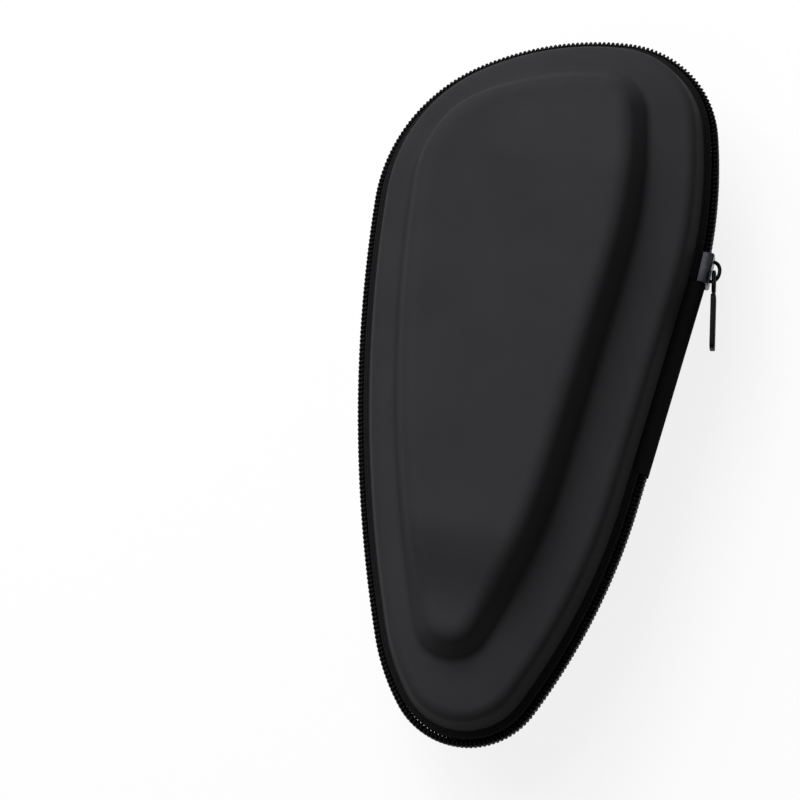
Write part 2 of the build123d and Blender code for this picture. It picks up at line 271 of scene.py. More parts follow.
def rounded(corners, radii):
    """A line through corners, with the inner ones turned into arcs."""
    line = [corners[0]]
    for before, corner, after, radius in zip(corners, corners[1:], corners[2:], radii):
        here = Vector(corner)
        into, away = (here - Vector(before)).normalized(), (Vector(after) - here).normalized()
        turn = acos(max(-1, min(1, into.dot(away))))
        reach = radius * tan(turn / 2)
        side = 1 if into.x * away.y - into.y * away.x > 0 else -1
        first = here - into * reach
        centre = first + Vector((-into.y, into.x)) * radius * side
        for step in range(ROUND_CUTS + 1):
            swing = side * turn * step / ROUND_CUTS
            spoke = first - centre
            across = spoke.x * cos(swing) - spoke.y * sin(swing)
            rise = spoke.x * sin(swing) + spoke.y * cos(swing)
            line.append(tuple(centre + Vector((across, rise))))
    return line + [corners[-1]]


# ---- materials ----------------------------------------------------------------------------------

# Specular IOR Level of each kind of surface. A dark wall seen at a grazing angle mirrors the
# white floor, so these are low wherever the real surface scatters light.
SHELL_GLOSS = 0.02
CLOTH_GLOSS = 0.05
HINGE_GLOSS = 0.3
PLASTIC_GLOSS = 0.08
METAL_GLOSS = 0.5

# The real embossing and the pile of the velour are finer than this and would blur to an even
# tone, so they are drawn coarser, mm.
DOT_PITCH = 0.85
DOT_DEPTH = 0.06
CLOUD_SCALE = 60.0
PILE_PITCH = 0.6
PILE_DEPTH = 0.1
GRAIN = 0.25
GRAIN_DEPTH = 0.01
WAVE_RADIANS = 20  # what a Wave texture of scale 1 runs through in each unit of length


def tone(hex_colour):
    """sRGB hex to linear RGBA."""
    parts = [int(hex_colour[i : i + 2], 16) / 255 for i in (1, 3, 5)]
    return (*[p / 12.92 if p <= 0.04045 else ((p + 0.055) / 1.055) ** 2.4 for p in parts], 1)


def add_node(material, kind, inputs=None, **settings):
    """Adds a node; an input is a value or (node, output name)."""
    tree = material.node_tree
    node = tree.nodes.new("ShaderNode" + kind)
    for key, value in settings.items():
        setattr(node, key, value)
    for socket, value in (inputs or {}).items():
        if isinstance(value, tuple) and isinstance(value[0], bpy.types.Node):
            tree.links.new(value[0].outputs[value[1]], node.inputs[socket])
        else:
            node.inputs[socket].default_value = value
    return node


def new_material(name):
    material = bpy.data.materials.new(name)
    material.use_nodes = True
    material.node_tree.nodes.clear()
    return material


def finish_material(material, surface):
    add_node(material, "OutputMaterial", {"Surface": surface})
    return material


def principled(material, inputs):
    """Finishes a material with one Principled surface."""
    surface = add_node(material, "BsdfPrincipled", inputs)
    return finish_material(material, (surface, "BSDF"))


def dress(piece, material):
    piece.data.materials.clear()
    piece.data.materials.append(material)


def shell_fabric():
    """Coated fabric, embossed with fine dots and hot-moulded over foam: matt with a soft sheen."""
    m = new_material("embossed_coated_fabric")
    place = add_node(m, "TexCoord")
    dots = add_node(
        m,
        "TexVoronoi",
        {"Vector": (place, "Object"), "Scale": 1 / (DOT_PITCH * MM), "Randomness": 0.15},
    )
    cloud = add_node(
        m, "TexNoise", {"Vector": (place, "Object"), "Scale": CLOUD_SCALE, "Detail": 3.0}
    )
    colour = add_node(m, "ValToRGB", {"Fac": (cloud, "Fac")})
    colour.color_ramp.elements[0].color = tone("#2f2f31")
    colour.color_ramp.elements[1].color = tone("#353537")
    bump = add_node(
        m,
        "Bump",
        {"Strength": 0.35, "Distance": DOT_DEPTH * MM, "Height": (dots, "Distance")},
    )
    return principled(
        m,
        {
            "Base Color": (colour, "Color"),
            "Roughness": 0.6,
            "IOR": 1.5,
            "Specular IOR Level": SHELL_GLOSS,
            "Normal": (bump, "Normal"),
        },
    )


def plain_cloth(name, colour, roughness):
    """A short pile: no thread shows, only soft unevenness."""
    m = new_material(name)
    place = add_node(m, "TexCoord")
    noise = add_node(
        m,
        "TexNoise",
        {"Vector": (place, "Object"), "Scale": 1 / (PILE_PITCH * MM), "Detail": 2.0},
    )
    bump = add_node(
        m, "Bump", {"Strength": 0.5, "Distance": PILE_DEPTH * MM, "Height": (noise, "Fac")}
    )
    return principled(
        m,
        {
            "Base Color": tone(colour),
            "Roughness": roughness,
            "Specular IOR Level": CLOTH_GLOSS,
            "Normal": (bump, "Normal"),
        },
    )


def weave(name, dark, light, thread, roughness, depth, place_by="UV", gloss=CLOTH_GLOSS):
    """Crossing threads: bands in both directions, multiplied, with a little unevenness.

    thread is the distance from one thread to the next and depth that of the hollows, mm.
    """
    m = new_material(name)
    place = add_node(m, "TexCoord")
    scale = 2 * pi / WAVE_RADIANS / (thread * MM)
    bands = [
        add_node(
            m,
            "TexWave",
            {"Vector": (place, place_by), "Scale": scale, "Distortion": 0.8, "Detail Scale": 0.5},
            bands_direction=direction,
        )
        for direction in ("X", "Y")
    ]
    cross = add_node(m, "Math", {0: (bands[0], "Fac"), 1: (bands[1], "Fac")}, operation="MULTIPLY")
    colour = add_node(m, "ValToRGB", {"Fac": (cross, "Value")})
    colour.color_ramp.elements[0].color = tone(dark)
    colour.color_ramp.elements[1].color = tone(light)
    bump = add_node(
        m, "Bump", {"Strength": 0.9, "Distance": depth * MM, "Height": (cross, "Value")}
    )
    return principled(
        m,
        {
            "Base Color": (colour, "Color"),
            "Roughness": roughness,
            "Specular IOR Level": gloss,
            "Normal": (bump, "Normal"),
        },
    )


def hard(name, colour, roughness, metallic=0.0, grain=GRAIN):
    """A moulded or cast surface with a fine uneven grain."""
    m = new_material(name)
    place = add_node(m, "TexCoord")
    noise = add_node(
        m, "TexNoise", {"Vector": (place, "Object"), "Scale": 1 / (grain * MM), "Detail": 3.0}
    )
    rough = add_node(
        m,
        "MapRange",
        {"Value": (noise, "Fac"), "To Min": roughness * 0.8, "To Max": roughness * 1.25},
    )
    bump = add_node(
        m, "Bump", {"Strength": 0.4, "Distance": GRAIN_DEPTH * MM, "Height": (noise, "Fac")}
    )
    return principled(
        m,
        {
            "Base Color": tone(colour),
            "Metallic": metallic,
            "Specular IOR Level": METAL_GLOSS if metallic else PLASTIC_GLOSS,
            "Roughness": (rough, "Result"),
            "Normal": (bump, "Normal"),
        },
    )


SHELL_FABRIC = shell_fabric()
# brushed pile: dead matt, the darkest thing inside the open case
VELOUR = plain_cloth("velour_lining", "#1c1c1e", 0.95)
# tight plain weave: a faint grid beside the coil; its real threads are too fine to show
TAPE_WEAVE = weave("polyester_zip_tape", "#0b0b0c", "#29292b", 0.62, 0.75, 0.12)
# ribbed ribbon folded round the edges: dull, with its ribs across it
BINDING_WEAVE = weave("grosgrain_binding", "#0f0f10", "#2a2a2c", 0.7, 0.8, 0.1)
# nylon with a coating pressed into it: smoother than the tape, with a low satin sheen
HINGE_FABRIC = weave(
    "coated_oxford_hinge", "#2a2a2c", "#353537", 0.55, 0.5, 0.03, "Object", HINGE_GLOSS
)
# rubber-cored knit: coarse soft ribs that take the shine off the strap
ELASTIC = weave("knitted_elastic", "#111112", "#2c2c2e", 1.3, 0.85, 0.25, "Object")
# spun thread: short raised dashes, duller than the ribbon under them
THREAD = hard("polyester_thread", "#141415", 0.7)
# drawn monofilament: near black turns, each with a small soft highlight
COIL_NYLON = hard("nylon_coil", "#0b0b0c", 0.5)
# textured yarn: dull enough for the net to read as a screen and not as wire
NET = hard("polyester_net_yarn", "#121213", 0.75)
# die-cast zinc, plated dark: the only bright metal, with slightly uneven reflections
METAL = hard("gunmetal_zinc", "#2c2d30", 0.32, 1.0, 0.5)
# enamel on steel wire: black with one clean line of light along the bow
BLACK_METAL = hard("black_enamelled_wire", "#08080a", 0.3)
# moulded plastic: a slightly waxy black
LINK_PLASTIC = hard("black_acetal", "#0a0a0b", 0.38)
# soft moulded grip: broad dull highlights
RUBBER = hard("black_moulded_rubber", "#0c0c0d", 0.55)

# ---- shells -------------------------------------------------------------------------------------

# Insets are measured inwards from the outline and levels up from the zip plane, mm.
SHELL_INSET = 4.2
SEAM_EDGE = 6.5
SEAM_RING = 0.6  # how far above the seam's edge a ring keeps it crisp
WALL_RING = 3.2  # where the rounding of the rim begins, above the seam's edge
WALL_DRAFT = 12.0
RIM_LEVEL = 17.0
BORDER_SLOPE = 15.0
BORDER_END = 9.15
PANEL_INSET = 17.2
PANEL_CORE = 27.5
PANEL_SHIFT = Vector((-3.4, 1.2, 0))
PANEL_LEVEL = 34.0
PANEL_FOOT = 14.8
FOOT_LEVEL = 19.25
FOOT_TILT = 1.9  # the foot climbs with the border from the long side to the hinge
RISER_LEVEL = 22.0
RISER_DRAFT = 18.0
RIM_ROUND = 4.4
FOOT_ROUND = 3.0
PANEL_ROUND = 5.2
TOP_SPAN = 30  # rows of the grid that closes the flat top
CREST_LEVEL = 28.0
FIRM_RING = 0.5  # above the riser's level, what lies lower than this stays when the ends sink
# where the panel's ends sink: towards +y or -y, how far out, by how much, over what reach, mm
SOFTENED_ENDS = [(1, 84.0, 4.0, 28.0), (-1, 73.0, 6.0, 26.0)]
FLANK, TIP, FRONT = 6, 7, 8  # stretches of the outline before, at and after the tip
WALL = 3.9
LINING_SINK = 4.1
LINING = 0.8
SHELL_SPACING = 1.3
SHELL_SHADING = 50


def panel_moves():
    """Moves round the raised panel: the outline's, with the tip turned about its own centre."""
    moves = moves_between(0, RUN)
    flank, front = STRETCHES[FLANK], STRETCHES[FRONT]
    centres = [s[0] + inward(s[1]) * s[3] for s in (flank, front)]
    radii = [s[3] - PANEL_CORE for s in (flank, front)]
    gap = centres[1] - centres[0]
    along = (gap.length_squared + radii[0] ** 2 - radii[1] ** 2) / (2 * gap.length)
    across = sqrt(radii[0] ** 2 - along**2)
    unit = gap.normalized()
    square = Vector((-unit.y, unit.x, 0))
    options = [centres[0] + unit * along + square * across * side for side in (1, -1)]
    tip = min(options, key=lambda p: p.y)
    ends = []
    for centre in centres:
        spoke = centre - tip
        ends.append(degrees(atan2(-spoke.x, spoke.y)) % 360)
    turns = [(ends[0] - flank[1]) % 360, (ends[1] - ends[0]) % 360]
    turns.append((front[1] + front[4] - 360 - ends[1]) % 360)
    made = []
    for i, (centre, amount, length) in enumerate(moves):
        if i >= FLANK:
            centre, amount = (tip if i == TIP else centre), turns[i - FLANK]
        made.append((None if centre is None else centre + PANEL_SHIFT, amount, length))
    return made


def sweep(name, section, start, moves, spacing):
    """A (u, z) section in mm, drawn across the start and swept along moves."""
    place, angle = start
    points = [up_to_row(place + inward(angle) * u, SEAM_PLANE + z) for u, z in section]
    piece = begin_at(name, points[0])
    draw_through(points)
    follow(moves, spacing)
    close_up()
    return piece


def shell_surface(name):
    """The outside of one shell, an open surface: wall, rim, border, soft foot, riser, panel."""
    wall, slope = tan(radians(WALL_DRAFT)), tan(radians(BORDER_SLOPE))
    corner = (SHELL_INSET + (RIM_LEVEL - SEAM_EDGE) * wall, RIM_LEVEL)
    border = (BORDER_END, RIM_LEVEL + (BORDER_END - corner[0]) * slope)
    border_foot = (PANEL_FOOT, RIM_LEVEL + (PANEL_FOOT - corner[0]) * slope)
    rings = [(SHELL_INSET + up * wall, SEAM_EDGE + up) for up in (0, SEAM_RING, WALL_RING)]
    band = rings[:2] + rounded([rings[2], corner, border_foot], [RIM_ROUND])[:-1] + [border]
    skirt = sweep(name, band, station(0), moves_between(0, RUN), SHELL_SPACING)

    lean = tan(radians(RISER_DRAFT))
    foot = (PANEL_FOOT, FOOT_LEVEL)
    level = PANEL_INSET - foot[0] + (foot[1] - RISER_LEVEL) * lean
    run = level / (1 - slope * lean)
    riser_foot = (foot[0] + run, foot[1] + run * slope)
    edge = (PANEL_INSET + (PANEL_LEVEL - RISER_LEVEL) * lean, PANEL_LEVEL)
    corners = [foot, riser_foot, edge, (PANEL_CORE, PANEL_LEVEL)]
    line = rounded(corners, [FOOT_ROUND, PANEL_ROUND])[:-1]
    place, angle = station(0)
    panel = sweep("panel", line, (place + PANEL_SHIFT, angle), panel_moves(), SHELL_SPACING)

    open_mesh(panel)
    select_vertices(panel, lambda p: p.z < SEAM_PLANE + RISER_LEVEL)
    bpy.ops.transform.rotate(
        value=radians(FOOT_TILT),
        orient_axis="Y",
        center_override=(PANEL_SHIFT.x * MM, 0, (SEAM_PLANE + FOOT_LEVEL) * MM),
    )
    bpy.ops.object.mode_set(mode="OBJECT")
    only(skirt)
    panel.select_set(True)
    bpy.ops.object.join()
    bpy.ops.object.mode_set(mode="EDIT")
    select_rims(skirt, SEAM_PLANE + RIM_LEVEL, SEAM_PLANE + RISER_LEVEL)
    bpy.ops.mesh.bridge_edge_loops(number_cuts=1, interpolation="LINEAR")
    select_vertices(skirt, lambda p: p.z > SEAM_PLANE + PANEL_LEVEL - 0.002)
    bpy.ops.mesh.fill_grid(span=TOP_SPAN)
    close_up()
    open_mesh(skirt)
    select_vertices(skirt, lambda p: p.z < SEAM_PLANE + RISER_LEVEL + FIRM_RING)
    bpy.ops.mesh.hide()
    for end, out, drop, reach in SOFTENED_ENDS:
        select_vertices(skirt, lambda p: p.z > SEAM_PLANE + CREST_LEVEL and p.y * end > out)
        bpy.ops.transform.translate(
            value=(0, 0, -drop * MM),
            use_proportional_edit=True,
            proportional_edit_falloff="SMOOTH",
            proportional_size=reach * MM,
        )
    bpy.ops.mesh.reveal()
    bpy.ops.object.mode_set(mode="OBJECT")
    return skirt


front_surface = shell_surface("front_surface")
front_skin = copy_of(front_surface, "front_shell_skin")
apply_modifier(front_skin, "SOLIDIFY", thickness=WALL * MM, offset=-1, use_even_offset=True)
smooth(front_skin, SHELL_SHADING)
dress(front_skin, SHELL_FABRIC)

front_velour = copy_of(front_surface, "front_velour")
open_mesh(front_velour)
bpy.ops.transform.shrink_fatten(value=-LINING_SINK * MM)
bpy.ops.object.mode_set(mode="OBJECT")
apply_modifier(front_velour, "SOLIDIFY", thickness=LINING * MM, offset=-1)
smooth(front_velour, SHELL_SHADING)
dress(front_velour, VELOUR)

only(front_surface)
bpy.ops.object.delete()

back_skin = flipped(copy_of(front_skin, "back_shell_skin"), SEAM_PLANE)
back_velour = flipped(copy_of(front_velour, "back_velour"), SEAM_PLANE)
for piece, body, node, slot in (
    (front_skin, "lid", "front_shell", "shell_skin"),
    (front_velour, "lid", "front_lining", "velour"),
    (back_skin, "base", "back_shell", "shell_skin"),
    (back_velour, "base", "back_lining", "velour"),
):
    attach(piece, body)
    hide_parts(node)

# ---- strips that follow the zip -----------------------------------------------------------------

PATH_SPACING = 1.2
STRIP_SPACING = 1.5
COIL_PITCH = 1.33
TURN_START = -0.28  # where a turn begins, as a share of the pitch
TURN = [
    (TURN_START, 0.4, 1.25),
    (-0.08, 0.42, 0.35),
    (0.0, 0.68, -0.1),
    (0.03, 1.15, -0.22),
    (0.06, 1.62, -0.1),
    (0.09, 1.88, 0.35),
    (0.13, 1.9, 1.25),
    (0.17, 1.85, 2.1),
    (0.24, 1.6, 2.5),
    (0.34, 1.15, 2.62),
    (0.45, 0.72, 2.5),
    (0.54, 0.44, 2.05),
    (1 + TURN_START, 0.4, 1.25),
]
TURN_WELD = 0.15  # mm within which one turn's end is merged with the next one's start
TURN_SIDES = 8
LAST_TURN_LEFT = 0.4  # of a turn, left free at the end of the coil
WIRE_RADIUS = 0.4
HEM_STATION = 68.0
MESHED_STATION = 71.3
SPLIT_STATION = 110.6
END_STATION = RUN + 10.2
TAPE_GAP = 0.1  # how far short of the coil's split the tape's two stretches meet, mm
ZIP_TAPE = 0.5
TAPE_LINE = [(2.4, 0.9), (2.5, 4.75), (4.2, 6.15), (9.3, 6.15)]


def path_along(first, last):
    """A flat curve along the outline, to bend a straight strip by."""
    place, _ = station(first)
    path = begin_at("path", up_to_row(place))
    follow(moves_between(first, last), PATH_SPACING)
    bpy.ops.object.mode_set(mode="OBJECT")
    only(path)
    bpy.ops.object.convert(target="CURVE")
    path = bpy.context.object
    path.data.dimensions, path.data.twist_mode = "3D", "Z_UP"
    begins = path.data.splines[0].points[0].co.xyz
    if (begins - up_to_row(place)).length > MM:
        bpy.ops.object.mode_set(mode="EDIT")
        bpy.ops.curve.select_all(action="SELECT")
        bpy.ops.curve.switch_direction()
        bpy.ops.object.mode_set(mode="OBJECT")
    return path


def bend(piece, first, last):
    """Bends a strip that is straight along x, with its inset along y, to the outline."""
    path = path_along(first, last)
    apply_modifier(piece, "CURVE", object=path, deform_axis="POS_X")
    only(path)
    bpy.ops.object.delete()
    return piece


def straight_strip(name, line, length):
    """An (inset, height) line in mm, drawn out along x, with its UV in metres."""
    points = [Vector((0, u, z)) * MM for u, z in line]
    piece = begin_at(name, points[0])
    draw_through(points)
    bpy.ops.mesh.select_all(action="SELECT")
    steps = ceil(length / STRIP_SPACING)
    for _ in range(steps):
        bpy.ops.mesh.extrude_region_move(
            TRANSFORM_OT_translate={"value": (length * MM / steps, 0, 0)}
        )
    bpy.ops.mesh.select_all(action="SELECT")
    bpy.ops.uv.cube_project(cube_size=1.0, correct_aspect=False)
    close_up()
    return piece


def moved(piece, offset):
    """Moves the whole mesh by an offset in mm."""
    open_mesh(piece)
    bpy.ops.transform.translate(value=Vector(offset) * MM)
    bpy.ops.object.mode_set(mode="OBJECT")
    return piece


def zip_tape(name, first, last, below=False):
    tape = straight_strip(name, TAPE_LINE, last - first)
    apply_modifier(tape, "SOLIDIFY", thickness=ZIP_TAPE * MM, offset=0, use_even_offset=True)
    if below:
        flipped(tape)
    bend(tape, first, last)
    smooth(tape, 30)
    dress(tape, TAPE_WEAVE)
    return tape


def wire(name, points, radius, closed=False, sides=1):
    """A round wire through points in mm."""
    places = [Vector(p) * MM for p in points]
    piece = begin_at(name, places[0])
    draw_through(places)
    if closed:
        tie_ends()
    bpy.ops.object.mode_set(mode="OBJECT")
    only(piece)
    bpy.ops.object.convert(target="CURVE")
    piece = bpy.context.object
    piece.data.dimensions = "3D"
    piece.data.bevel_depth, piece.data.bevel_resolution = radius * MM, sides
    bpy.ops.object.convert(target="MESH")
    return bpy.context.object


def coil_turn():
    """One turn of the coil: out over the coupling head, back inside and on to the next turn."""
    return wire("turn", [(x * COIL_PITCH, u, z) for x, u, z in TURN], WIRE_RADIUS)


def coil(name, turn, first_turn, last_turn, below=False):
    """A run of turns; those of the lower half lie half a pitch further on."""
    run = copy_of(turn, name)
    shift = COIL_PITCH / 2 if below else 0
    if below:
        flipped(run)
    first = (first_turn + TURN_START) * COIL_PITCH
    moved(run, (-TURN_START * COIL_PITCH + shift, 0, 0))
    repeated(
        run,
        last_turn - first_turn + 1,
        COIL_PITCH,
        use_merge_vertices=True,
        merge_threshold=TURN_WELD * MM,
    )
    cap_ends(run, TURN_SIDES)
    bend(run, first, (last_turn + 2) * COIL_PITCH)
    smooth(run, 60)
    dress(run, COIL_NYLON)
    return run


turn = coil_turn()
FIRST_TURN = ceil(MESHED_STATION / COIL_PITCH - TURN_START)
SPLIT_TURN = ceil(SPLIT_STATION / COIL_PITCH) - 1
LAST_TURN = int(END_STATION / COIL_PITCH - LAST_TURN_LEFT)
ZIP_PIECES = [
    (coil("front_coil_end_turns", turn, FIRST_TURN, SPLIT_TURN), "front_coil_end"),
    (coil("front_coil_turns", turn, SPLIT_TURN + 1, LAST_TURN), "front_coil"),
    (coil("back_coil_end_turns", turn, FIRST_TURN, SPLIT_TURN, True), "back_coil_end"),
    (coil("back_coil_turns", turn, SPLIT_TURN + 1, LAST_TURN, True), "back_coil"),
    (zip_tape("front_zip_tape", SPLIT_STATION - TAPE_GAP, END_STATION), "front_tape"),
    (zip_tape("front_zip_tape_end", HEM_STATION, SPLIT_STATION - TAPE_GAP), "front_tape_end"),
    (zip_tape("back_zip_tape", HEM_STATION, END_STATION, True), "back_tape"),
]
only(turn)
bpy.ops.object.delete()
for piece, node in ZIP_PIECES:
    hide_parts(node)
    if node.endswith("_end") and node.startswith("front"):
        near, far = (station(at)[0] for at in (MESHED_STATION, SPLIT_STATION))
        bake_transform(piece)
    else:
        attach(piece, "base" if node.startswith("back") else "lid")

# ---- binding ------------------------------------------------------------------------------------

BINDING_LINE = [
    (9.35, 5.3), (9.5, 4.95), (9.76, 4.84), (10.0, 4.95), (10.2, 5.3), (10.7, 7.5),
    (11.2, 9.7), (11.1, 9.95), (10.8, 10.0), (10.5, 9.95), (10.36, 9.7), (9.88, 7.5),
]
STITCH_PITCH = 3.2
STITCH_LENGTH = 2.4
STITCH_RADIUS = 0.22
STITCH_PLACE = (10.66, 7.2)
STITCH_DIP = 0.22  # how far both ends of a stitch go into the ribbon
STITCH_RISE = (0.1, 0.16)  # how far it stands off near its ends and at its middle
STITCH_SHOULDER = 0.75  # where it is nearly level, as a share of its half length


def edge_binding(name, below=False):
    strip = straight_strip(name, BINDING_LINE + BINDING_LINE[:1], RUN)
    if below:
        flipped(strip)
    bend(strip, 0, RUN)
    open_mesh(strip)
    close_up()
    smooth(strip, 50)
    dress(strip, BINDING_WEAVE)
    return strip


def stitch_row(name, below=False):
    """A row of stitches along the binding, each a short thread that dips at both ends."""
    u, z = STITCH_PLACE
    half, (low, high) = STITCH_LENGTH / 2, STITCH_RISE
    shoulder = half * STITCH_SHOULDER
    dips = [(-half, -STITCH_DIP), (half, -STITCH_DIP)]
    line = [dips[0], (-shoulder, low), (0, high), (shoulder, low), dips[1]]
    stitch = wire(name, [(x + STITCH_PITCH / 2, u + rise, z) for x, rise in line], STITCH_RADIUS)
    cap_ends(stitch, TURN_SIDES)
    if below:
        flipped(stitch)
    repeated(stitch, int(RUN / STITCH_PITCH), STITCH_PITCH)
    bend(stitch, 0, RUN)
    smooth(stitch, 60)
    dress(stitch, THREAD)
    return stitch


for below, side, body in ((False, "front", "lid"), (True, "back", "base")):
    ribbon = edge_binding(side + "_edge_binding", below)
    for piece in (ribbon, stitch_row(side + "_stitches", below)):
        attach(piece, body)
        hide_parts(side + "_binding")

# ---- hinge --------------------------------------------------------------------------------------

PANEL_START = 9.3
PANEL_LENGTH = 58.5
HINGE_CENTRE = 4.903
HINGE_RADIUS = 6.403
HINGE_SWING = 88.2
HINGE_THICK = 0.95
HINGE_SPANS = 14  # pieces that the fabric is divided into along its length
HINGE_BOW_CUTS = 30
# a turned-in hem and its row of stitches: distance from the fabric's end, rise off its face
HEM = [
    (0, -HINGE_THICK), (0, 0), (0.2, 0.42), (0.7, 0.6), (1.7, 0.64), (2.7, 0.6), (3.25, 0.38),
    (3.5, -0.25), (3.9, -0.27), (4.4, 0),
]
LINING_LINE_RADIUS = 4.8
LINING_LEG = 9.2
LINING_KNEE = 7.0
LINING_CUTS = 20
LINING_SPACING = 3.0


def hinge_outer():
    """The folded fabric: its profile along the hinge, with both hems, swept round the bow."""
    place, angle = station(PANEL_START)
    along, into = heading(angle), inward(angle)
    spans = [PANEL_LENGTH * i / HINGE_SPANS for i in range(1, HINGE_SPANS)]
    face = [(s, 0) for s in spans]
    far = [(PANEL_LENGTH - s, t) for s, t in reversed(HEM)]
    under = [(s, -HINGE_THICK) for s in reversed(spans)]
    profile = HEM + face + far + under + HEM[:1]
    swing = radians(HINGE_SWING)
    axis = place + into * HINGE_CENTRE
    points = []
    for s, t in profile:
        reach = HINGE_RADIUS + t
        spot = axis + along * s - into * reach * cos(swing)
        points.append(up_to_row(spot, SEAM_PLANE - reach * sin(swing)))
    piece = begin_at("hinge_panel_fabric", points[0])
    draw_through(points)
    tie_ends()
    bpy.ops.mesh.spin(
        steps=HINGE_BOW_CUTS, angle=-2 * swing, center=up_to_row(axis), axis=along
    )
    bpy.ops.mesh.select_all(action="SELECT")
    bpy.ops.mesh.fill_holes(sides=0)
    close_up()
    smooth(piece, 45)
    dress(piece, HINGE_FABRIC)
    return piece


def hinge_inner():
    """The soft strip inside the hinge, a bow with two legs run in under the shells' edges."""
    radius = LINING_LINE_RADIUS
    line = [(LINING_LEG, -radius), (LINING_KNEE, -radius)]
    for i in range(LINING_CUTS + 1):
        turn = radians(-90 + 180 * i / LINING_CUTS)
        line.append((radius - radius * cos(turn), radius * sin(turn)))
    line += [(LINING_KNEE, radius), (LINING_LEG, radius)]
    start = station(PANEL_START)
    moves = [(None, heading(start[1]) * PANEL_LENGTH, PANEL_LENGTH)]
    strip = sweep("hinge_inner_fabric", line, start, moves, LINING_SPACING)
    apply_modifier(strip, "SOLIDIFY", thickness=LINING * MM, offset=0)
    smooth(strip, 45)
    dress(strip, VELOUR)
    return strip


panel_cloth, lining_cloth = hinge_outer(), hinge_inner()
bow = 2 * radians(HINGE_SWING) * HINGE_RADIUS
inner_bow = pi * LINING_LINE_RADIUS + 2 * (LINING_LEG - LINING_LINE_RADIUS)
middle = station(PANEL_START)[0]
for piece, node, slot, width in (
    (panel_cloth, "hinge_panel", "hinge_fabric", bow),
    (lining_cloth, "hinge_lining", "velour", inner_bow),
):
    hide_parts(node)
    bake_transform(piece)

# ---- slider and pull ----------------------------------------------------------------------------

SLIDER_STATION = 72.6
SLIDER_HALF = 4.7  # half its length along the zip
SLIDER_WIDE = 4.5  # half its width where the coils come in apart
SLIDER_NARROW = 3.8  # half its width where they leave it joined
SLIDER_PLATES = [(0.25, 1.25), (-4.1, -3.1)]  # out from the coil's outer side
PLATE_CORNER, PLATE_EDGE = 1.1, 0.3
RAIL = (-2.05, 0.9)
RAIL_END = 4.5
RAIL_CORNER, RAIL_EDGE = 0.35, 0.2
CHANNEL = 3.25
WEDGE = [(-4.6, -0.6), (-1.6, 0), (-4.6, 0.6)]
WEDGE_LEVELS = (-3.2, 0.35)
WEDGE_EDGE = 0.1
BRIDGE_LENGTH = 7.0
BRIDGE_REACH = 2.8
BRIDGE_WIRE = 0.55
BRIDGE_SINK = 0.35  # how deep its feet stand in the plate
BRIDGE_CUTS = 24
BRIDGE_FULLNESS = 0.75  # 1 is a half ellipse; less is squarer
WIRE_SIDES = 3  # bevel resolution of the wires that show singly
WIRE_END = 20  # most sides that a wire's end has
PIVOT_OUT = 1.95
PULL_ANGLE = 14.6
LINK_LENGTH = 7.2
LINK_HALF = 1.925
LINK_WIRE = 0.6
LINK_CUTS = 12
TANG_LENGTH, TANG_HALF, TANG_SINK = 3.0, 1.3, 0.2
TANG_LEVELS = (-0.5, 0.5)
TANG_CORNER, TANG_EDGE = 0.4, 0.15
TAB_START = 6.85
TAB_LENGTH = 16.2
TAB_WIDTH = 6.6
TAB_THICK = 1.45
TAB_CORNER, TAB_EDGE = 1.6, 0.22
TAB_BORDER = 0.95
TAB_SLOPE, TAB_RECESS = 0.35, 0.2
CORNER_CUTS = 5
EDGE_CUTS = 3
EDGE_ANGLE = 50  # edges sharper than this are rounded


def turned_into_place(piece, angle, place):
    """From the drawing's frame to the case: x comes to lie along a heading, at a flat point."""
    open_mesh(piece)
    bpy.ops.transform.rotate(value=-radians(angle), orient_axis="Z", center_override=(0, 0, 0))
    bpy.ops.transform.translate(value=up_to_row(place))
    bpy.ops.object.mode_set(mode="OBJECT")
    return piece


def soft_edges(piece, width):
    apply_modifier(
        piece,
        "BEVEL",
        width=width * MM,
        segments=EDGE_CUTS,
        limit_method="ANGLE",
        angle_limit=radians(EDGE_ANGLE),
    )


def slab(name, plan, low, high, round_corners, round_edges, axis="X"):
    """A plan drawn square to an axis, made thick between two distances, corners and edges soft."""
    if axis == "X":
        points = [Vector((low, a, b)) * MM for a, b in plan]
        step = Vector((high - low, 0, 0)) * MM
    else:
        points = [Vector((a, low, b)) * MM for a, b in plan]
        step = Vector((0, high - low, 0)) * MM
    piece = begin_at(name, points[0])
    draw_through(points + points[:1])
    tie_ends()
    if round_corners:
        bpy.ops.mesh.select_all(action="SELECT")
        bpy.ops.mesh.bevel(
            offset=round_corners * MM, segments=CORNER_CUTS, affect="VERTICES", clamp_overlap=True
        )
    bpy.ops.mesh.select_all(action="SELECT")
    bpy.ops.mesh.edge_face_add()
    bpy.ops.mesh.extrude_region_move(TRANSFORM_OT_translate={"value": step})
    bpy.ops.mesh.select_all(action="SELECT")
    bpy.ops.mesh.normals_make_consistent(inside=False)
    bpy.ops.object.mode_set(mode="OBJECT")
    if round_edges:
        soft_edges(piece, round_edges)
    return piece


def joined(name, pieces):
    only(pieces[0])
    for other in pieces[1:]:
        other.select_set(True)
    bpy.ops.object.join()
    whole = bpy.context.object
    whole.name = whole.data.name = name
    return whole


